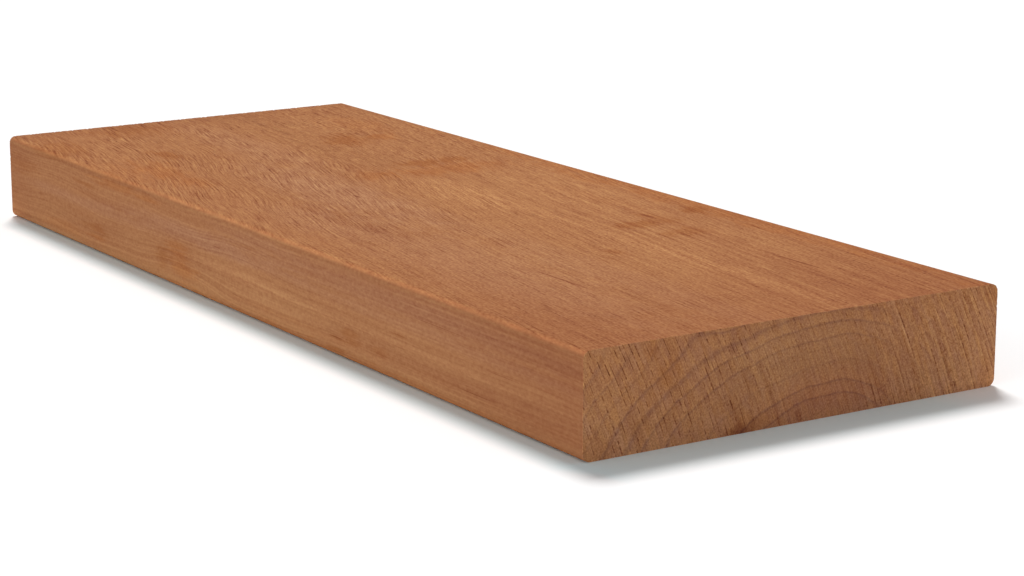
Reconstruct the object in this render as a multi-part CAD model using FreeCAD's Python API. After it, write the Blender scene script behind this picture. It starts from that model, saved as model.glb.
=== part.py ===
# A short length of solid hardwood decking board, sawn and planed from one piece of timber.
#
# The two wide faces and the two narrow edges are planed flat and parallel. The four long
# arrises, where a wide face meets an edge, are rounded over, so that the tread is kind to
# bare feet and an oil finish doesn't wear off a sharp corner. The two ends are cut square
# across the grain and left as the saw leaves them, with a crisp edge all round.
#
# The board lies flat. +X runs along its length, +Y across its width and +Z up through its
# thickness. The origin is the centre of the underside.

import FreeCAD, Part
import math
import os

# Driving dimensions, in millimetres
BOARD_LENGTH = 238.0
BOARD_WIDTH = 90.0
BOARD_THICKNESS = 19.0
ARRIS_RADIUS = 1.5

# An arris can't be rounded by more than this share of the thickness or width, or the
# two roundings of one face would meet.
LARGEST_ROUNDING_SHARE = 0.49

BOARD_NODE = "decking_board"
PARTS_FOLDER = "parts"


def arris_radius():
    """The rounding of the four long edges, limited by the wall that carries it."""
    wall = min(BOARD_WIDTH, BOARD_THICKNESS)
    return min(ARRIS_RADIUS, LARGEST_ROUNDING_SHARE * wall)


def corner_arc(centre, radius, start_angle):
    """A quarter turn in the plane of the section, from start_angle degrees anticlockwise."""
    def point(angle):
        turn = math.radians(angle)
        return centre + FreeCAD.Vector(0, radius * math.cos(turn), radius * math.sin(turn))

    return Part.Arc(point(start_angle), point(start_angle + 45), point(start_angle + 90))


def section_wire(x):
    """The planed section at x: four flats joined by four tangent quarter turns."""
    radius = arris_radius()
    half_flat = BOARD_WIDTH / 2 - radius
    low = radius
    high = BOARD_THICKNESS - radius
    corners = [
        (FreeCAD.Vector(x, half_flat, low), -90),
        (FreeCAD.Vector(x, half_flat, high), 0),
        (FreeCAD.Vector(x, -half_flat, high), 90),
        (FreeCAD.Vector(x, -half_flat, low), 180),
    ]
    arcs = [corner_arc(centre, radius, angle) for centre, angle in corners]
    edges = []
    for arc, following in zip(arcs, arcs[1:] + arcs[:1]):
        edges.append(arc.toShape())
        edges.append(Part.LineSegment(arc.EndPoint, following.StartPoint).toShape())
    return Part.Wire(edges)


def decking_board():
    """The section run along the whole length, between two square-sawn ends."""
    section = Part.Face(section_wire(-BOARD_LENGTH / 2))
    return section.extrude(FreeCAD.Vector(BOARD_LENGTH, 0, 0))


def section_area():
    """The area of the planed section: the full rectangle less what four roundings take."""
    taken_by_one_rounding = (1 - math.pi / 4) * arris_radius() ** 2
    return BOARD_WIDTH * BOARD_THICKNESS - 4 * taken_by_one_rounding


def export_node(shape, node):
    """Writes one named piece as a STEP file, after checking that it is one closed solid."""
    if len(shape.Solids) != 1 or not shape.isValid() or not shape.isClosed():
        raise ValueError(f"{node} is not one closed solid")
    os.makedirs(PARTS_FOLDER, exist_ok=True)
    shape.exportStep(os.path.join(PARTS_FOLDER, node + ".step"))


def main():
    board = decking_board()
    export_node(board, BOARD_NODE)
    expected_volume = section_area() * BOARD_LENGTH
    box = board.BoundBox
    print(f"{BOARD_NODE}: {box.XLength:.1f} x {box.YLength:.1f} x {box.ZLength:.1f} mm")
    print(f"volume {board.Volume / 1000:.2f} cm3, by formula {expected_volume / 1000:.2f} cm3")


main()
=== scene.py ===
# %% [markdown]
# # A hardwood decking board
# A short piece of decking board: one stick of hardwood, planed on four sides, its long arrises
# rounded over, its two ends sawn square. The shape comes from the drawing, which is loaded first.
# What is left for Blender is what makes a stick of wood look like wood: grain, pores, growth
# rings, saw marks, and the light that shows them.

# %% Load the drawn board
import math

import bpy
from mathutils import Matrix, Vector


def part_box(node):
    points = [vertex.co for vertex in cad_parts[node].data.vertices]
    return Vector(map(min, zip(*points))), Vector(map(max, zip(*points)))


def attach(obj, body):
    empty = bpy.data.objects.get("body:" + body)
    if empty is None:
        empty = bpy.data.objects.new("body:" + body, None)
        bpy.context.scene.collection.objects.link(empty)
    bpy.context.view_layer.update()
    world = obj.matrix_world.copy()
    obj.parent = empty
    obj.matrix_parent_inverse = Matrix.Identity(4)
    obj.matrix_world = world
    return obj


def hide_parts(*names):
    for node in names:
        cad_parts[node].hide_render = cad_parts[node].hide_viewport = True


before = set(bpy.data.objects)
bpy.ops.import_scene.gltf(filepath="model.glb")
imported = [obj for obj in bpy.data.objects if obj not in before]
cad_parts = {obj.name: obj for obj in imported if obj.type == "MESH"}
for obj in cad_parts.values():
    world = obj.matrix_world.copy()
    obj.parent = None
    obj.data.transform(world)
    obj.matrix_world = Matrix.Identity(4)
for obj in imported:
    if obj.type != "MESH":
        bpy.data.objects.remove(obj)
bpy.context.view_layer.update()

low_corner, high_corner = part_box("decking_board")
LENGTH, WIDTH, THICKNESS = high_corner - low_corner
print("length, width, thickness in metres:", round(LENGTH, 4), round(WIDTH, 4), round(THICKNESS, 4))

# %% [markdown]
# ## How far the arrises are rounded
# The long edges of a decking board are rounded over, so that bare feet meet no sharp corner.
# The drawing doesn't hand the radius over as a number, but its mesh shows it: the flat top ends
# one radius short of the board's side.

# %% Measure the rounding
TOUCHING = 1e-5
drawn_points = [v.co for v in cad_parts["decking_board"].data.vertices]
flat_half_width = max(abs(p.y) for p in drawn_points if high_corner.z - p.z < TOUCHING)
ARRIS_RADIUS = WIDTH / 2 - flat_half_width
print("arris radius in metres:", round(ARRIS_RADIUS, 5))

# %% [markdown]
# ## The camera
# The board is looked at along its length, from a little above the floor, through a long lens.
# A long lens far away keeps the far end from shrinking too much. The heading turns from the +X
# axis, and the dip is how far the camera looks down.

# %% Place the camera
CAMERA_PLACE = Vector((0.47217, -0.28640, 0.12974))
CAMERA_HEADING = math.radians(147.197)
CAMERA_DIP = math.radians(13.188)
CAMERA_LENS = 95.815
SENSOR_WIDTH = 36.0


def looking(heading, dip):
    """The direction of a look that turns by heading from +X and dips below the horizon."""
    level = math.cos(dip)
    return Vector((level * math.cos(heading), level * math.sin(heading), -math.sin(dip)))


camera_data = bpy.data.cameras.new("camera")
camera_data.lens = CAMERA_LENS
camera_data.sensor_width = SENSOR_WIDTH
camera = bpy.data.objects.new("camera", camera_data)
camera.location = CAMERA_PLACE
camera.rotation_euler = looking(CAMERA_HEADING, CAMERA_DIP).to_track_quat("-Z", "Y").to_euler()
bpy.context.scene.collection.objects.link(camera)
bpy.context.scene.camera = camera
bpy.context.scene.view_settings.view_transform = "Standard"
print("the camera is", round((CAMERA_PLACE - Vector((LENGTH / 2, 0, 0))).length, 3), "m from the near end")

# %% [markdown]
# ## Formulas for node trees
# Wood is a pattern that follows rules, so both the shape and the finish are made by node trees
# that this script writes. A long formula is hard to read as nodes placed one by one. So an
# Amount wraps the socket that holds a number, and adding or multiplying two Amounts adds the
# Math node for it. Every other kind of node comes from one method of a Recipe, which takes the
# node's settings first and then the values or links of its sockets.

# %% Write formulas as nodes
class Amount:
    """A number that differs from place to place, held by a socket of a node tree."""

    def __init__(self, recipe, socket):
        self.recipe = recipe
        self.socket = socket

    def __add__(self, other):
        return self.recipe.maths("ADD", self, other)

    def __sub__(self, other):
        return self.recipe.maths("SUBTRACT", self, other)

    def __rsub__(self, other):
        return self.recipe.maths("SUBTRACT", other, self)

    def __mul__(self, other):
        return self.recipe.maths("MULTIPLY", self, other)

    def __truediv__(self, other):
        return self.recipe.maths("DIVIDE", self, other)

    def __gt__(self, other):
        return self.recipe.maths("GREATER_THAN", self, other)

    def __neg__(self):
        return self * -1.0

    def __abs__(self):
        return self.recipe.maths("ABSOLUTE", self)

    __radd__ = __add__
    __rmul__ = __mul__


class Recipe:
    """Writes nodes into one tree, of a material or of Geometry Nodes."""

    def __init__(self, tree):
        self.tree = tree

    def node(self, kind, settings=None, sockets=None):
        made = self.tree.nodes.new(kind)
        for name, value in (settings or {}).items():
            setattr(made, name, value)
        for key, value in (sockets or {}).items():
            source = value.socket if isinstance(value, Amount) else value
            if isinstance(source, bpy.types.NodeSocket):
                self.tree.links.new(source, made.inputs[key])
            else:
                made.inputs[key].default_value = source
        return made

    def maths(self, operation, *values):
        made = self.node("ShaderNodeMath", {"operation": operation}, dict(enumerate(values)))
        return Amount(self, made.outputs[0])

    def parts(self, vector):
        """The x, y and z of a vector socket, as three Amounts."""
        made = self.node("ShaderNodeSeparateXYZ", sockets={0: vector})
        return [Amount(self, socket) for socket in made.outputs]

    def point(self, x, y, z):
        return self.node("ShaderNodeCombineXYZ", sockets={0: x, 1: y, 2: z}).outputs[0]

    def ease(self, value, start, end):
        """0 up to start, 1 from end on, and a smooth change between them."""
        sockets = {"Value": value, "From Min": start, "From Max": end}
        made = self.node("ShaderNodeMapRange", {"interpolation_type": "SMOOTHSTEP"}, sockets)
        return Amount(self, made.outputs[0])

    def noise(self, point, detail=0.0, scale=1.0, roughness=0.5):
        """Even, smooth randomness about 0.5. One blot of it is about one unit across."""
        sockets = {"Vector": point, "Scale": scale, "Detail": detail, "Roughness": roughness}
        return Amount(self, self.node("ShaderNodeTexNoise", sockets=sockets).outputs[0])

    def swing(self, point, detail=0.0, roughness=0.5):
        """The same randomness, from about -1 to 1."""
        return self.noise(point, detail, roughness=roughness) * 2.0 - 1.0


# %% [markdown]
# ## The saw's path over the ends
# The ends are cut by a saw whose teeth cross them at a slant and leave fine parallel scratches.
# Both the shape and the finish follow the same scratches, so their formula is written once. It
# gives two numbers in millimetres: how far a spot lies across the scratches, and how far along.

# %% Follow the saw's scratches
MILLIMETRE = 0.001
MIDDLE_HEIGHT = THICKNESS / MILLIMETRE / 2
SCRATCH_LEAN = 0.43
SCRATCH_BEND = 0.0048


def saw_scratches(recipe, y, z):
    """How far a spot of an end lies across the saw's scratches and along them, in millimetres."""
    rise = z - MIDDLE_HEIGHT
    upright = math.cos(math.atan(SCRATCH_LEAN))
    across = (y + rise * SCRATCH_LEAN + rise * rise * SCRATCH_BEND) * upright
    along = (rise - y * SCRATCH_LEAN) * upright
    return across, along


# %% [markdown]
# ## The board's shape
# A box could be bevelled along four edges, but a main piece whose shape follows a rule is a good
# subject for Geometry Nodes. A fine grid box has the three sizes. Each point near a long arris is
# drawn in to a circle about the arris's own centre line, and points elsewhere stay. Then the
# surface gets a relief of hundredths of a millimetre, always inwards, so that the board never
# grows: scratches on the sawn ends, faint hollows of soft grain on the planed faces, and small
# chips out of the sharp edge round each end.

# %% Write the shape as Geometry Nodes
COLUMNS = {"Length": 81, "Width": 301, "Thickness": 64}
SHARP_ANGLE = math.radians(35)
SIZES = {
    "Length": LENGTH,
    "Width": WIDTH,
    "Thickness": THICKNESS,
    "Arris radius": ARRIS_RADIUS,
    "Scratch depth": 0.00006,
    "Grain depth": 0.00003,
    "Chip depth": 0.00012,
}
SEED = 7


def shape_tree(sizes, finish):
    """A tree that makes the board, with its sizes as named inputs."""
    tree = bpy.data.node_groups.new("board_shape", "GeometryNodeTree")
    tree.interface.new_socket(name="Geometry", in_out="OUTPUT", socket_type="NodeSocketGeometry")
    for name, size in sizes.items():
        tree.interface.new_socket(name=name, in_out="INPUT", socket_type="NodeSocketFloat").default_value = size
    tree.interface.new_socket(name="Seed", in_out="INPUT", socket_type="NodeSocketInt")
    recipe = Recipe(tree)
    given = recipe.node("NodeGroupInput")
    size = {name: Amount(recipe, given.outputs[name]) for name in list(sizes) + ["Seed"]}
    rounded = rounded_box(recipe, size)
    worn = with_relief(recipe, rounded, size)
    real = recipe.node("GeometryNodeRealizeInstances", sockets={"Geometry": worn})
    painted = recipe.node("GeometryNodeSetMaterial", sockets={"Geometry": real.outputs[0], "Material": finish})
    recipe.node("NodeGroupOutput", sockets={0: painted.outputs[0]})
    return tree


def rounded_box(recipe, size):
    """A fine box with its four long arrises drawn in to quarter circles, its underside on the floor."""
    box_size = recipe.point(size["Length"], size["Width"], size["Thickness"])
    counts = {f"Vertices {axis}": n for axis, n in zip("XYZ", COLUMNS.values())}
    box = recipe.node("GeometryNodeMeshCube", sockets={"Size": box_size, **counts})
    place = recipe.node("GeometryNodeInputPosition").outputs[0]
    x, y, z = recipe.parts(place)
    radius = size["Arris radius"]
    inner_y = size["Width"] / 2.0 - radius
    inner_z = size["Thickness"] / 2.0 - radius
    core_y = recipe.maths("MAXIMUM", recipe.maths("MINIMUM", y, inner_y), -inner_y)
    core_z = recipe.maths("MAXIMUM", recipe.maths("MINIMUM", z, inner_z), -inner_z)
    out_y = y - core_y
    out_z = z - core_z
    longer = recipe.maths("MAXIMUM", abs(out_y), abs(out_z))
    straight = recipe.maths("SQRT", out_y * out_y + out_z * out_z)
    drawn_in = longer / recipe.maths("MAXIMUM", straight, 1e-9)
    lifted = core_z + out_z * drawn_in + size["Thickness"] / 2.0
    rounded = recipe.point(x, core_y + out_y * drawn_in, lifted)
    return recipe.node("GeometryNodeSetPosition", sockets={"Geometry": box.outputs["Mesh"], "Position": rounded}).outputs[0]


def with_relief(recipe, shape, size):
    """The same shape, smooth but for the rims of its ends, with its relief pressed in."""
    edge_angle = Amount(recipe, recipe.node("GeometryNodeInputMeshEdgeAngle").outputs[0])
    store = {"data_type": "BOOLEAN", "domain": "EDGE"}
    sharp = {"Geometry": shape, "Name": "sharp_edge", "Value": edge_angle > SHARP_ANGLE}
    marked = recipe.node("GeometryNodeStoreNamedAttribute", store, sharp)
    smooth = recipe.node("GeometryNodeSetShadeSmooth", sockets={"Geometry": marked.outputs[0]})
    place = recipe.node("GeometryNodeInputPosition").outputs[0]
    normal = recipe.node("GeometryNodeInputNormal").outputs[0]
    x, y, z = [part / MILLIMETRE for part in recipe.parts(place)]
    facing_end = abs(recipe.parts(normal)[0])
    on_end = recipe.ease(facing_end, 0.97, 0.99)
    on_rim = recipe.ease(facing_end, 0.2, 0.5) * (1.0 - on_end)
    across, along = saw_scratches(recipe, y, z)
    seed = size["Seed"] * 10.0
    scratches = recipe.noise(recipe.point(across * 1.6, along * 0.08, seed), detail=1.0)
    hollows = recipe.noise(recipe.point(x * 0.02, y * 0.35, z * 0.35 + seed), detail=1.0)
    chips = recipe.ease(recipe.noise(recipe.point(y * 1.8, z * 1.8, seed)), 0.55, 0.75) * recipe.ease(z, 8.0, 18.0)
    pressed = scratches * on_end * size["Scratch depth"] + chips * on_rim * size["Chip depth"]
    pressed = pressed + hollows * (1.0 - on_end) * (1.0 - on_rim) * size["Grain depth"]
    inward = recipe.node("ShaderNodeVectorMath", {"operation": "SCALE"}, {0: normal, "Scale": -pressed})
    sockets = {"Geometry": smooth.outputs[0], "Offset": inward.outputs[0]}
    return recipe.node("GeometryNodeSetPosition", sockets=sockets).outputs[0]


# %% [markdown]
# ## The colour of the wood
# The finish is one procedural material that fills the stick through and through, so every face
# shows the same tree. It reads Object coordinates, turned to millimetres by a Mapping node.
# The planed faces cut the fibres lengthwise and show their pores as short dark dashes. The sawn
# ends cut them across and show growth rings. Colours are written as the eye reads them, from 0
# to 255, and turned to light for the nodes.

# %% Tools for the wood's colour
PLANED_SHADE = (0.63, 0.98)
SAWN_SHADE = (0.68, 1.03)
DARKEST = 0.2


def light(red, green, blue):
    """A colour that the eye reads as 0 to 255 in each part, as the amounts of light that nodes take."""
    def part(value):
        share = value / 255
        return share / 12.92 if share <= 0.04045 else ((share + 0.055) / 1.055) ** 2.4
    return (part(red), part(green), part(blue), 1.0)


def blended(recipe, share, first, second, way="MIX"):
    """A colour between two others. The share of the second is a number or an Amount."""
    sockets = {0: share, 6: first, 7: second}
    return recipe.node("ShaderNodeMix", {"data_type": "RGBA", "blend_type": way}, sockets).outputs[2]


def shaded(recipe, colour, brightness, shade=PLANED_SHADE):
    """The colour made darker or lighter by an Amount, where 1 leaves it as it is. Dark wood is redder."""
    level = recipe.maths("MAXIMUM", brightness, DARKEST)
    red = recipe.maths("POWER", level, shade[0])
    blue = recipe.maths("POWER", level, shade[1])
    sockets = {0: colour, 1: recipe.point(red, level, blue)}
    return recipe.node("ShaderNodeVectorMath", {"operation": "MULTIPLY"}, sockets).outputs[0]


def tinted(recipe, colour, share, tint):
    """The colour with each part made stronger by its part of the tint, as much as share says."""
    shares = recipe.point(share, share, share)
    parts = recipe.node("ShaderNodeVectorMath", {"operation": "MULTIPLY_ADD"}, {0: shares, 1: tint, 2: (1.0,) * 3})
    sockets = {0: colour, 1: parts.outputs[0]}
    return recipe.node("ShaderNodeVectorMath", {"operation": "MULTIPLY"}, sockets).outputs[0]


def blot(recipe, u, v, centre, reach, ragged):
    """1 in the middle of a soft oval spot and 0 outside it, with an edge made uneven by ragged."""
    du = (u - centre[0]) / reach[0]
    dv = (v - centre[1]) / reach[1]
    distance = recipe.maths("SQRT", du * du + dv * dv) + ragged
    return 1.0 - recipe.ease(distance, 0.25, 1.3)


def blots(recipe, u, v, places, ragged):
    """Several soft oval spots, each given as its centre, its reach and its strength."""
    total = 0.0
    for centre, reach, strength in places:
        total = blot(recipe, u, v, centre, reach, ragged) * strength + total
    return recipe.maths("MINIMUM", total, 1.0)


# %% [markdown]
# ## The figure
# On this board the fibres don't run straight. They sweep down across the wide face from its far
# corner, and straighten towards the near end. A formula follows one fibre: it gives the same
# number all along it, so a pattern squeezed by that number lies along the fibres wherever they
# go. The narrow edges show the same figure wrapped round the arris and squeezed to their width.

# %% Follow the fibres
HALF_WIDTH = WIDTH / MILLIMETRE / 2
HALF_LENGTH = LENGTH / MILLIMETRE / 2
HEIGHT = THICKNESS / MILLIMETRE
GENERAL_SLOPE = 0.12
SWEEP = 9.5
SWEEP_MIDDLE = -34.0
SWEEP_LENGTH = 50.0


def wrapped(recipe, y, z):
    """The place across the figure, which runs over the top and is squeezed down each edge."""
    reach = HALF_WIDTH - (HEIGHT - z) * (2 * HALF_WIDTH / HEIGHT)
    side = recipe.maths("SIGN", reach)
    limit = abs(reach)
    return recipe.maths("MAXIMUM", recipe.maths("MINIMUM", y * side, limit), -limit)


def fibre_number(recipe, x, across, layer):
    """The same number all along one fibre of a wide face, in millimetres across."""
    straighter = recipe.ease(across, 2.0, 22.0) * 0.7
    sweep = (recipe.maths("TANH", (x - SWEEP_MIDDLE) / SWEEP_LENGTH) - 1.0) * SWEEP
    far = 1.0 - recipe.ease(x, -30.0, 70.0) * 0.7
    wander = recipe.swing(recipe.point(x / 34.0, across / 14.0, layer)) * far * 2.0
    curl = recipe.swing(recipe.point(x / 8.0, across / 4.0, layer + 5.0)) * far * 0.2
    return across + x * GENERAL_SLOPE + sweep * (1.0 - straighter) + wander + curl


# %% [markdown]
# ## The planed faces
# Three things are laid over each other. Broad stains come first: golden and reddish patches and
# a cooler, greyer band. Then come fine light and dark fibres. Last come the pores, cut open by
# the planer: dark dashes a tenth of a millimetre wide and a few millimetres long. They are
# hollows too, so they also feed the bump.

# %% Mix the planed faces
PLAIN_WOOD = light(169, 114, 74)
GOLDEN_WOOD = light(183, 128, 84)
AMBER_WOOD = light(170, 108, 64)
BROWN_WOOD = light(157, 96, 54)
GREY_WOOD = light(173, 121, 85)
AMBER_STAINS = (
    ((-29.0, 21.0), (7.0, 15.0), 0.9),
    ((-71.0, 28.5), (4.5, 3.0), 0.8),
    ((-57.0, -34.0), (20.0, 5.0), 0.8),
    ((-31.0, 3.0), (5.5, 7.0), 0.5),
    ((-88.0, 31.0), (14.0, 7.0), 0.45),
    ((20.0, 29.0), (26.0, 3.0), 0.15),
    ((35.0, 44.0), (110.0, 6.5), 0.95),
    ((-62.0, -42.0), (16.0, 5.0), 0.4),
)
BROWN_STAINS = (
    ((-38.0, 20.0), (3.6, 11.0), 0.85),
    ((-31.0, 2.0), (4.0, 5.0), 0.3),
    ((42.0, 21.5), (3.8, 8.5), 0.75),
    ((36.5, 38.5), (4.4, 3.0), 1.2),
    ((36.0, 27.0), (3.0, 1.6), 0.5),
    ((53.0, 24.5), (4.2, 5.5), 0.6),
    ((-72.0, 19.0), (7.5, 7.0), 0.85),
    ((-77.0, -25.0), (7.0, 3.2), 0.8),
    ((-112.0, -18.0), (8.5, 11.0), 0.6),
    ((60.0, 2.0), (2.8, 1.8), 0.5),
    ((46.0, 41.0), (6.0, 3.0), 0.4),
    ((-98.0, -41.0), (12.0, 5.0), 0.6),
)
LIGHT_STREAKS = (
    ((62.0, 10.6), (84.0, 2.6), 0.5),
    ((-2.0, 8.8), (25.0, 8.0), 0.85),
    ((5.0, 23.0), (26.0, 6.0), 0.42),
    ((0.0, 35.0), (34.0, 9.0), 0.4),
    ((-3.0, -4.0), (22.0, 9.0), 0.3),
)
GREY_PLACES = (
    ((-75.0, -4.0), (42.0, 8.0), 0.6),
    ((-18.0, -14.0), (42.0, 11.0), 0.95),
    ((58.0, -26.0), (62.0, 13.0), 0.6),
    ((66.0, -9.0), (80.0, 6.0), 0.4),
    ((3.0, -32.0), (22.0, 8.0), 0.45),
)
DARK_STREAKS = (
    ((75.0, 27.0), (65.0, 2.0), 1.2),
    ((98.0, 20.0), (26.0, 4.5), 1.5),
    ((112.0, 26.0), (26.0, 20.0), 0.5),
    ((78.0, 42.0), (70.0, 7.0), 1.3),
    ((71.0, 25.5), (26.0, 6.0), 0.9),
    ((30.0, -39.0), (110.0, 7.0), 0.5),
    ((8.0, -26.0), (24.0, 3.5), 0.4),
    ((45.0, -27.0), (40.0, 9.0), 0.5),
    ((84.0, -36.0), (38.0, 12.0), 0.9),
)
DARK_TICKS = (
    ((-12.7, -12.2), (2.0, 0.5), 1.0),
    ((36.5, 26.8), (2.8, 0.7), 0.8),
    ((59.8, 1.9), (2.6, 0.5), 0.6),
    ((86.0, 26.0), (7.0, 0.35), 1.0),
    ((74.0, -19.2), (12.0, 0.35), 0.9),
    ((94.0, 1.3), (6.0, 0.35), 0.6),
)
EDGE_STAINS = 0.7
EDGE_PATCHES = (
    ((85.0, 14.8), (55.0, 3.2), -0.2),
    ((104.0, 6.9), (38.0, 2.4), 1.0),
    ((20.0, 6.0), (16.0, 4.0), 1.0),
    ((-50.0, 7.0), (14.0, 2.4), 0.9),
    ((-32.0, 4.0), (9.0, 2.4), -0.8),
)
EDGE_TINT = (0.014, 0.044, 0.126)
LOW_EDGE_TINT = (0.06, 0.0, 0.0)
# The colour of the painted highlight along the rounded arrises.
ARRIS_PAINTED_HIGHLIGHT = (0.25, 0.23, 0.21)


def stained_wood(recipe, x, across, fibre, on_edge, layer):
    """The broad colour of the planed faces, before fibres and pores. The edges show it weaker."""
    shown = 1.0 - on_edge * (1.0 - EDGE_STAINS)
    uneven = recipe.swing(recipe.point(x / 6.0, across / 5.0, layer), detail=4.0) * 0.8
    streaked = recipe.swing(recipe.point(x / 16.0, fibre / 1.2, layer + 4.0), detail=2.0)
    warm = recipe.noise(recipe.point(x / 60.0, fibre / 8.0, layer + 2.0), detail=2.0)
    in_gold = blot(recipe, x, across, (6.0, 20.0), (62.0, 34.0), uneven * 0.5) * recipe.ease(warm, 0.2, 0.8) * 0.22
    in_light = blots(recipe, x, across, LIGHT_STREAKS, streaked * 0.4)
    colour = blended(recipe, recipe.maths("MAXIMUM", in_gold, in_light), PLAIN_WOOD, GOLDEN_WOOD)
    in_grey = blots(recipe, x, across, GREY_PLACES, uneven * 0.6 + streaked * 0.2)
    colour = blended(recipe, in_grey, colour, GREY_WOOD)
    amber = blots(recipe, x, across, AMBER_STAINS, uneven + streaked * 0.8)
    specks = recipe.ease(warm + streaked * 0.3, 0.5, 0.8) * (1.0 - in_grey) * 0.09
    colour = blended(recipe, recipe.maths("MAXIMUM", amber, specks), colour, AMBER_WOOD)
    brown = blots(recipe, x, across, BROWN_STAINS, uneven + streaked * 0.9) * shown
    colour = blended(recipe, brown, colour, BROWN_WOOD)
    in_dark = blots(recipe, x, across, DARK_STREAKS, streaked * 0.6) * shown * 0.1
    ticks = blots(recipe, x, across, DARK_TICKS, uneven * 0.3) * 0.5
    # The planed faces are made darker towards the near end: partly painted shade, partly the wood's own colour.
    painted_shade_near_end = recipe.ease(x, 62.0, 119.0) * 0.18
    far_end = (1.0 - recipe.ease(x, -119.0, -98.0)) * 0.13
    return shaded(recipe, colour, 1.0 - ticks - in_dark - painted_shade_near_end - far_end)


def wide_face(recipe, x, y, fibre, layer):
    """How bright the fibres make a wide face, and how deep its pores are, from 0 to 1."""
    near = recipe.ease(x, -20.0, 60.0)
    far = 1.0 - recipe.ease(x, -60.0, -10.0)
    upper = recipe.ease(y, -5.0, 10.0)
    streaks = recipe.swing(recipe.point(x / 60.0, fibre / 1.12, layer), detail=2.0, roughness=0.62)
    threads = recipe.swing(recipe.point(x / 7.5, fibre / 0.40, layer + 3.0), detail=1.0)
    flecks = recipe.swing(recipe.point(x / 0.9, fibre / 0.42, layer + 6.0), detail=1.0)
    mottle = recipe.swing(recipe.point(x / 3.0, y / 1.8, layer + 9.0), detail=2.0)
    dashes = recipe.swing(recipe.point(x / 2.2, fibre / 0.55, layer + 12.0), detail=1.0)
    patchy = recipe.noise(recipe.point(x / 26.0, fibre / 4.5, layer + 9.0), detail=1.0)
    patchy = recipe.ease(patchy, 0.32, 0.68)
    threaded = 0.62 - near * 0.24 - upper * 0.06 + upper * near * 0.12
    threaded = threaded + far * 0.10 - far * upper * 0.10
    brightness = 1.0 + streaks * (0.16 + upper * 0.11 + upper * near * 0.28)
    brightness = brightness + threads * threaded * ((patchy - 0.5) * (far * 0.6 + 0.2) + 1.0)
    brightness = brightness + flecks * (0.46 + near * 0.14 + upper * 0.06) + mottle * 0.12
    brightness = brightness + dashes * far * upper * 0.5
    crowd = patchy * 0.03 + 0.02
    crowd = crowd + blot(recipe, x, y, (13.0, -26.0), (28.0, 6.0), 0.0) * 0.07
    crowd = crowd + blot(recipe, x, y, (-30.0, -14.0), (90.0, 26.0), 0.0) * 0.04
    short = recipe.noise(recipe.point(x / 2.4, fibre / 0.24, layer))
    long = recipe.noise(recipe.point(x / 12.0, fibre / 0.25, layer + 4.0))
    short_pores = recipe.ease(short + crowd - near * 0.06, 0.65, 0.84)
    long_pores = recipe.ease(long + crowd * 1.5 - near * upper * 0.05, 0.65, 0.82)
    pores = recipe.maths("MAXIMUM", short_pores * 0.6, long_pores * 0.75)
    return brightness, pores


def narrow_edge(recipe, x, z, across, layer):
    """The same for a narrow edge, whose streaks run straight."""
    z = z + recipe.swing(recipe.point(x / 28.0, z / 9.0, layer + 9.0)) * (1.0 - recipe.ease(x, -30.0, 70.0) * 0.8) * 1.6
    streaks = recipe.swing(recipe.point(x / 90.0, z / 0.48, layer + 1.0), detail=1.0)
    bands = recipe.swing(recipe.point(x / 150.0, z / 2.2, layer + 3.0))
    threads = recipe.swing(recipe.point(x / 7.0, z / 0.42, layer + 7.0), detail=1.0)
    flecks = recipe.swing(recipe.point(x / 0.8, z / 0.45, layer + 4.0), detail=1.0)
    below_arris = 1.0 - recipe.ease(abs(z - 14.2), 1.6, 3.6)
    # Painted light: the edge is made lighter towards the floor, to lift the shade near it.
    painted_light_low = 1.0 - recipe.ease(z, 0.0, 6.0)
    patches = blots(recipe, x, z, EDGE_PATCHES, bands * 0.5)
    brightness = 1.0 + streaks * 0.36 + bands * 0.09 + threads * 0.08 + flecks * 0.3
    brightness = brightness - below_arris * 0.06 + painted_light_low * 0.36 + patches * 0.1
    short = recipe.noise(recipe.point(x / 3.4, z / 0.2, layer + 2.0))
    pores = recipe.ease(short, 0.66, 0.88) * 0.3
    return brightness, pores


# %% [markdown]
# ## The sawn ends
# An end shows the tree in cross section. The growth rings are thin dark lines about a heart that
# lies just under the board, so they are drawn by their distance from it, flattened to the left
# and crinkled a little by noise. The saw has dragged open the pores into rows of dark dashes.
# The ends are duller and browner than the faces, because end grain drinks in more oil.

# %% Mix the sawn ends
END_WOOD = light(178, 124, 84)
END_GOLD = light(189, 131, 84)
END_ROSE = light(172, 119, 87)
END_AMBER = light(164, 103, 58)
YEAR_TINT = (-0.12, -0.13, -0.07)
BLUE_TINT = (0.09, 0.01, 0.16)
COOL_TINT = (-0.045, 0.0, 0.045)
FOOT_TINT = (0.045, 0.0, 0.03)
HEART = (8.0, -8.0)
LINE_SPACING = 0.95
YEAR_WIDTH = 2.3
YEAR_FADE = 1.6
RING_SQUASH_LEFT = 1.74
RING_SQUASH_RIGHT = 1.09
RINGS = (
    (12.1, 1.0, 0.20),
    (14.4, 1.1, 0.20),
    (17.8, 0.4, 0.20),
    (20.6, 0.3, 0.20),
    (22.4, 0.8, 0.20),
    (25.0, 0.9, 0.20),
    (27.1, 0.75, 0.42),
    (29.6, 0.9, 0.22),
    (31.8, 0.5, 0.20),
    (34.2, 0.6, 0.20),
    (36.5, 0.6, 0.20),
    (39.2, 0.6, 0.20),
    (42.3, 0.5, 0.20),
    (45.6, 0.5, 0.20),
)
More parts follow.
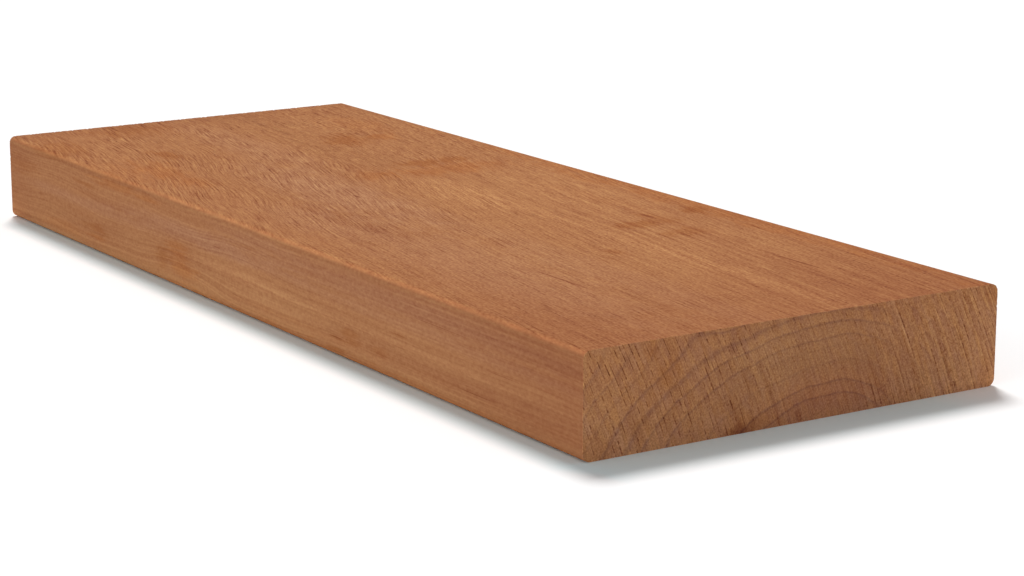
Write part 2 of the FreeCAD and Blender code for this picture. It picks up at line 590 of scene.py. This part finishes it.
AMBER_PLACES = (
    ((-42.5, 2.0), (4.0, 3.5), 0.35),
    ((-28.0, 12.5), (2.6, 2.6), 0.45),
    ((-31.5, 17.5), (1.8, 2.2), 0.4),
    ((-33.5, 4.0), (3.0, 3.0), 0.25),
    ((-9.0, 1.4), (5.0, 1.8), 0.4),
    ((-14.0, 2.5), (2.2, 4.0), 0.25),
    ((24.0, 1.0), (2.6, 2.0), 0.25),
    ((43.5, 3.0), (3.2, 5.0), 0.35),
    ((43.5, 17.8), (3.0, 2.6), 0.45),
)
SAW_MARKS = (
    ((-7.0, -0.8), (0.42, 8.0), 0.9),
    ((-10.2, -0.9), (0.18, 4.0), 0.7),
    ((-11.0, 2.5), (0.7, 3.5), 0.25),
    ((-14.7, -1.5), (0.9, 3.4), 0.6),
    ((-3.0, -7.8), (0.6, 1.5), 1.6),
    ((2.35, -4.5), (0.18, 8.0), 0.6),
    ((12.8, -12.6), (0.2, 3.0), 0.9),
    ((13.15, -12.6), (0.25, 3.0), -0.8),
    ((19.6, -11.5), (0.22, 4.5), 0.8),
    ((22.9, -6.0), (0.3, 6.0), -0.5),
    ((23.3, -6.0), (0.25, 6.0), 0.7),
    ((30.1, -10.0), (0.25, 7.0), 0.4),
    ((30.5, -11.0), (0.3, 8.0), -0.9),
)


def ring_distance(recipe, y, z, layer):
    """How far a spot of an end is from the tree's heart, in millimetres, as the rings see it."""
    beside = y - HEART[0]
    left = recipe.maths("MAXIMUM", -beside, 0.0) / RING_SQUASH_LEFT
    right = recipe.maths("MAXIMUM", beside, 0.0) / RING_SQUASH_RIGHT
    above = z - HEART[1]
    sideways = left + right
    distance = recipe.maths("SQRT", sideways * sideways + above * above)
    high_up = recipe.maths("MAXIMUM", z - 11.0, 0.0)
    steeper = high_up * high_up * (1.0 - recipe.ease(y, -24.0, -14.0)) * 0.04
    wobble = recipe.swing(recipe.point(y / 7.0, z / 7.0, layer)) * 0.5
    crinkle = recipe.swing(recipe.point(y / 1.3, z / 1.3, layer + 3.0), detail=1.0) * 0.16
    return distance - steeper + wobble + crinkle


def growth_rings(recipe, distance):
    """How much darker the years make the wood. A year starts light, darkens outwards and ends in a thin line."""
    total = 0.0
    for radius, strength, width in RINGS:
        off = distance - radius
        outside = recipe.ease(off, width - 0.3, width)
        near = recipe.maths("EXPONENT", abs(off) / -YEAR_FADE)
        line = recipe.maths("EXPONENT", -(off * off / width ** 2))
        total = (near * (0.38 - outside * 1.2) + line * 2.2) * strength + total
    return total


def saw_lines(recipe, across, along, distance, layer):
    """The saw's heavier lines: how dark each dash is, the light strip beside it, and each brick's tone and hue."""
    drift = recipe.swing(recipe.point(across / 1.8, 0.0, layer)) * 0.6
    step = (across + drift) / LINE_SPACING
    number = recipe.maths("FLOOR", step)
    off = (step - number - 0.5) * LINE_SPACING
    strip = recipe.maths("FLOOR", step + 0.5)
    year = recipe.maths("FLOOR", distance / YEAR_WIDTH)
    brick = {"W": strip + year * 0.371}
    chance = recipe.node("ShaderNodeTexWhiteNoise", {"noise_dimensions": "1D"}, brick).outputs["Color"]
    tone, hue, _ = recipe.parts(chance)
    dashes = recipe.noise(recipe.point(number * 7.3, along / 1.1, layer + 5.0), detail=1.0)
    steady = recipe.noise(recipe.point(number * 3.1, along / 6.0, layer + 7.0))
    shown = recipe.ease(steady, 0.34, 0.62)
    dark = (1.0 - recipe.ease(abs(off), 0.02, 0.14)) * (recipe.ease(dashes, 0.44, 0.53) * 0.9 + 0.1) * shown
    sliver = (1.0 - recipe.ease(abs(off + 0.22), 0.05, 0.19)) * shown
    return dark, sliver, tone, hue


def sawn_end(recipe, x, y, z, layer):
    """The colour of an end, and how deep its pores and scratches are, from 0 to 1."""
    across, along = saw_scratches(recipe, y, z)
    distance = ring_distance(recipe, y, z, layer)
    line, sliver, tone, hue = saw_lines(recipe, across, along, distance, layer)
    right = recipe.ease(y, 12.0, 24.0)
    broken = recipe.ease(recipe.noise(recipe.point(y / 2.0, z / 2.0, layer + 1.0), detail=1.0), 0.25, 0.6)
    rings = growth_rings(recipe, distance + tone * 0.1) * (broken * 0.4 + 0.6) * (1.0 - right * 0.75)
    years = recipe.noise(recipe.point(distance / 1.6, across / 30.0, 0.0), detail=3.0)
    plain = blot(recipe, y, z, (4.0, 7.0), (20.0, 16.0), 0.0) * 0.7
    busy = 1.0 - plain
    gold = recipe.ease(recipe.noise(recipe.point(across / 0.9, along / 4.0, layer), detail=2.0), 0.35, 0.7)
    rose = recipe.ease(recipe.noise(recipe.point(across / 1.6, along / 3.0, layer + 4.0), detail=2.0), 0.45, 0.65)
    rosy_brick = recipe.ease(hue, 0.5, 0.6) * busy
    ragged = recipe.swing(recipe.point(across / 1.0, along / 2.5, layer + 9.0), detail=2.0)
    colour = blended(recipe, gold * 0.6, END_WOOD, END_GOLD)
    colour = blended(recipe, rose * 0.4 + rosy_brick * 0.4, colour, END_ROSE)
    colour = blended(recipe, blots(recipe, y, z, AMBER_PLACES, ragged * 0.7), colour, END_AMBER)
    # Painted light: the end is made lighter low down, most at its foot and towards its left and right rims, to lift the
    # shade near the floor.
    painted_light_rim = recipe.ease(abs(y + 2.0), 26.0, 42.0)
    painted_light_low = 1.0 - recipe.ease(z, 0.0, 12.0)
    painted_light_foot = 1.0 - recipe.ease(z, 0.0, 5.0)
    top = recipe.ease(z, 13.0, 19.0)
    shade_right = blot(recipe, y, z, (14.0, 7.5), (5.0, 6.5), 0.0)
    cool = blot(recipe, y, z, (-2.0, 12.5), (22.0, 9.0), 0.0) + shade_right * 0.3
    light_left = blot(recipe, y, z, (-6.0, 11.0), (6.0, 9.0), 0.0)
    light_right = blot(recipe, y, z, (33.0, 1.0), (13.0, 4.0), 0.0)
    middle = blot(recipe, y, z, (4.0, 0.0), (34.0, 13.0), 0.0) * 0.12
    purple = blot(recipe, y, z, (7.0, 0.0), (17.0, 9.0), 0.0)
    bottom = blot(recipe, y, z, (-12.5, 0.0), (3.6, 1.8), ragged * 0.4) * 0.6
    broad = 0.965 + painted_light_low * 0.23 + painted_light_foot * 0.13 - top * 0.07 - middle - purple * 0.15 - shade_right * 0.08 + light_left * 0.08 + light_right * 0.08 - bottom + painted_light_rim * 0.06
    colour = shaded(recipe, colour, broad * (0.94 + years * 0.12), SAWN_SHADE)
    colour = tinted(recipe, colour, painted_light_low * 0.3 + purple * 0.6, BLUE_TINT)
    colour = tinted(recipe, colour, cool, COOL_TINT)
    colour = tinted(recipe, colour, painted_light_foot * (1.0 - purple), FOOT_TINT)
    colour = tinted(recipe, colour, rings, YEAR_TINT)
    mottle = recipe.swing(recipe.point(across / 0.7, along / 0.9, layer + 2.0), detail=2.0)
    grain = recipe.swing(recipe.point(across / 0.28, along / 0.36, layer + 8.0), detail=1.0)
    scratches = recipe.swing(recipe.point(across / 0.36, along * (busy * (1.0 - right) * 0.18 + 0.04), layer + 6.0), detail=1.0)
    strips = recipe.swing(recipe.point(across / 0.66, along / 25.0, layer + 12.0), detail=1.0)
    marks = blots(recipe, across, along, SAW_MARKS, ragged * 0.3)
    bright = 1.0 + mottle * (0.19 + right * 0.3) + grain * 0.6 + scratches * (0.24 + right * 0.08)
    bright = bright + strips * (0.10 + plain * 0.17 + right * 0.15) - marks * 0.28
    bright = bright + (tone - 0.5) * 0.2 * busy + sliver * busy * (0.06 + right * 0.12)
    colour = shaded(recipe, colour, bright - line * (busy * (0.52 - right * 0.16) + 0.10), SAWN_SHADE)
    return colour, line * busy - scratches * 0.3 - grain * 0.2


# %% [markdown]
# ## Put the finish together
# A spot belongs to an end where it lies within a hair of the board's length, and to a narrow edge
# where it lies past the flat of the top. The three finishes are mixed by those two shares. The
# surface is oiled, not varnished: rather rough, with a soft gloss on the planed faces and
# almost none in the pores and on the ends.

# %% Make the hardwood
END_DEPTH = 0.16
PORE_DEPTH = 0.06 * MILLIMETRE
FACE_ROUGHNESS = 0.8
END_ROUGHNESS = 0.9
WOOD_GLOSS = 0.03


def make_hardwood():
    """The finish of the whole board."""
    material = bpy.data.materials.new("hardwood")
    material.use_nodes = True
    material.node_tree.nodes.clear()
    recipe = Recipe(material.node_tree)
    coordinates = recipe.node("ShaderNodeTexCoord").outputs["Object"]
    in_millimetres = {"Vector": coordinates, "Scale": (1 / MILLIMETRE,) * 3}
    place = recipe.node("ShaderNodeMapping", sockets=in_millimetres).outputs[0]
    x, y, z = recipe.parts(place)
    layer = z / 20.0
    on_end = recipe.ease(abs(x), HALF_LENGTH - END_DEPTH, HALF_LENGTH - END_DEPTH / 2)
    arris = ARRIS_RADIUS / MILLIMETRE
    past_flat = recipe.maths("MAXIMUM", recipe.maths("MAXIMUM", z - (HEIGHT - arris), arris - z), 0.0)
    on_edge = recipe.ease(abs(y) - (HALF_WIDTH - arris) - past_flat, -1.1, 1.1)
    across = wrapped(recipe, y, z)
    figure = fibre_number(recipe, x, across, layer)
    colour = stained_wood(recipe, x, across, figure, on_edge, layer)
    fibre = fibre_number(recipe, x, y, layer)
    face_bright, face_pores = wide_face(recipe, x, y, fibre, layer)
    edge_bright, edge_pores = narrow_edge(recipe, x, z, across, y / 90.0)
    brightness = face_bright + (edge_bright - face_bright) * on_edge
    pores = face_pores + (edge_pores - face_pores) * on_edge
    colour = shaded(recipe, colour, brightness - pores * 0.4)
    colour = tinted(recipe, colour, on_edge, EDGE_TINT)
    colour = tinted(recipe, colour, on_edge * (1.0 - recipe.ease(z, 0.0, 7.0)), LOW_EDGE_TINT)
    # A painted highlight: the rounded arris is made lighter in patches, and less so towards the far end.
    patchy = recipe.ease(recipe.noise(recipe.point(x / 5.0, y / 5.0, 0.0), detail=1.0), 0.3, 0.7) * 0.7 + 0.65
    painted_arris_highlight = on_edge * (1.0 - on_edge) * 4.0 * patchy * (recipe.ease(x, -70.0, -30.0) * 0.35 + 0.65)
    colour = tinted(recipe, colour, painted_arris_highlight, ARRIS_PAINTED_HIGHLIGHT)
    end_colour, end_depth = sawn_end(recipe, x, y, z, x / 60.0)
    colour = blended(recipe, on_end, colour, end_colour)
    depth = pores + (end_depth - pores) * on_end
    bump_sockets = {"Height": -depth, "Distance": PORE_DEPTH, "Strength": 1.0}
    bump = recipe.node("ShaderNodeBump", sockets=bump_sockets).outputs[0]
    roughness = FACE_ROUGHNESS + pores * 0.1
    roughness = roughness + (END_ROUGHNESS - roughness) * on_end
    finish = {"Base Color": colour, "Roughness": roughness, "Specular IOR Level": WOOD_GLOSS, "Normal": bump}
    surface = recipe.node("ShaderNodeBsdfPrincipled", sockets=finish).outputs[0]
    recipe.node("ShaderNodeOutputMaterial", sockets={"Surface": surface})
    return material


hardwood = make_hardwood()
print("the hardwood has", len(hardwood.node_tree.nodes), "nodes")

# %% [markdown]
# ## Turn the board's shape into a mesh
# The modifier's inputs are set by their identifiers before the tree first runs. Its result is
# then copied to a plain mesh, so that nothing live is left on the piece.

# %% Make the board
def plain_mesh(name, tree, values):
    """Runs a Geometry Nodes tree with these values and gives its result as a plain mesh object."""
    piece = bpy.data.objects.new(name, bpy.data.meshes.new(name))
    bpy.context.scene.collection.objects.link(piece)
    modifier = piece.modifiers.new("shape", "NODES")
    modifier.node_group = tree
    for item in tree.interface.items_tree:
        if item.in_out == "INPUT":
            modifier[item.identifier] = values[item.name]
    finished = piece.evaluated_get(bpy.context.evaluated_depsgraph_get())
    mesh = bpy.data.meshes.new_from_object(finished)
    piece.modifiers.remove(modifier)
    piece.data = mesh
    return piece


board = plain_mesh("planed_board", shape_tree(SIZES, hardwood), {**SIZES, "Seed": SEED})
triangles = sum(len(face.vertices) - 2 for face in board.data.polygons)
print("the board has", triangles, "triangles and", len(board.data.materials), "material")
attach(board, "root")
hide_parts("decking_board")

# %% [markdown]
# ## The floor
# A plain white floor, so large that its edge never shows. It is a true surface, not a backdrop
# picture, so the board's shadow falls on it. The wood throws its warm colour into that shadow.
# To keep the shadow a plain grey, the white is a touch cooler close to the board.

# %% Lay the floor
FLOOR_REACH = 30.0
FLOOR_WHITE = light(252, 252, 252)
FLOOR_COOL = light(236, 251, 254)
COOL_REACH = 0.0145
SIDE_NARROWER = 1.87
COOL_END = 0.041
floor_mesh = bpy.data.meshes.new("floor")
corners = [(-FLOOR_REACH, -FLOOR_REACH, 0), (FLOOR_REACH, -FLOOR_REACH, 0), (FLOOR_REACH, FLOOR_REACH, 0), (-FLOOR_REACH, FLOOR_REACH, 0)]
floor_mesh.from_pydata(corners, [], [(0, 1, 2, 3)])
floor = bpy.data.objects.new("floor", floor_mesh)
bpy.context.scene.collection.objects.link(floor)
floor_paint = bpy.data.materials.new("floor_paint")
floor_paint.use_nodes = True
floor_paint.node_tree.nodes.clear()
floor_recipe = Recipe(floor_paint.node_tree)
floor_place = floor_recipe.node("ShaderNodeTexCoord").outputs["Object"]
floor_x, floor_y, _ = floor_recipe.parts(floor_place)
beyond_end = floor_recipe.maths("MAXIMUM", floor_x - LENGTH / 2, 0.0)
beyond_side = floor_recipe.maths("MAXIMUM", -floor_y - WIDTH / 2, 0.0) * SIDE_NARROWER
apart = beyond_end + beyond_side
in_shadow = 1.0 - floor_recipe.ease(floor_y, COOL_END - COOL_REACH, COOL_END)
in_shadow = in_shadow * floor_recipe.ease(floor_x, -LENGTH / 2, -LENGTH / 2 + COOL_REACH)
close_by = (1.0 - floor_recipe.ease(apart, COOL_REACH * 0.3, COOL_REACH)) * in_shadow
floor_colour = blended(floor_recipe, close_by, FLOOR_WHITE, FLOOR_COOL)
matt_white = floor_recipe.node("ShaderNodeBsdfDiffuse", sockets={"Color": floor_colour})
floor_recipe.node("ShaderNodeOutputMaterial", sockets={"Surface": matt_white.outputs[0]})
floor_mesh.materials.append(floor_paint)

# %% [markdown]
# ## The light
# The room's own light comes evenly from all round. A large soft lamp high behind the board gives
# the short soft shadow that falls towards the viewer, and a weaker one low on the left fills the
# long edge. The room is dimmer than the white that shows behind the board: camera and mirror
# rays see plain white, and only the light that falls on things is turned down.

# %% Light the board
ROOM_LIGHT = 0.34
KEY_FROM = Vector((-10.4, 4.8, 19.0))
KEY_LIGHT = 2.5
KEY_SOFTNESS = math.radians(17)
FILL_FROM = Vector((1.0, -10.0, 2.5))
FILL_LIGHT = 0.85
FILL_SOFTNESS = math.radians(50)


def soft_lamp(name, comes_from, strength, softness):
    """A lamp so far away that its light is even, with a disc as wide as softness in the sky."""
    lamp = bpy.data.lights.new(name, "SUN")
    lamp.energy = strength
    lamp.angle = softness
    holder = bpy.data.objects.new(name, lamp)
    holder.rotation_euler = comes_from.to_track_quat("Z", "Y").to_euler()
    bpy.context.scene.collection.objects.link(holder)
    return holder


def make_room(light_level):
    """White to the camera and in reflections, and light_level as light that falls on things."""
    world = bpy.data.worlds.new("room")
    bpy.context.scene.world = world
    world.use_nodes = True
    world.node_tree.nodes.clear()
    recipe = Recipe(world.node_tree)
    path = recipe.node("ShaderNodeLightPath")
    seen = [Amount(recipe, path.outputs[name]) for name in ("Is Camera Ray", "Is Glossy Ray", "Is Transmission Ray")]
    shown_white = recipe.maths("MINIMUM", seen[0] + seen[1] + seen[2], 1.0)
    strength = shown_white * (1.0 - light_level) + light_level
    sky = recipe.node("ShaderNodeBackground", sockets={"Color": (1.0, 1.0, 1.0, 1.0), "Strength": strength})
    recipe.node("ShaderNodeOutputWorld", sockets={"Surface": sky.outputs[0]})


make_room(ROOM_LIGHT)
soft_lamp("key", KEY_FROM, KEY_LIGHT, KEY_SOFTNESS)
soft_lamp("fill", FILL_FROM, FILL_LIGHT, FILL_SOFTNESS)
print("the lamps and the room are set")
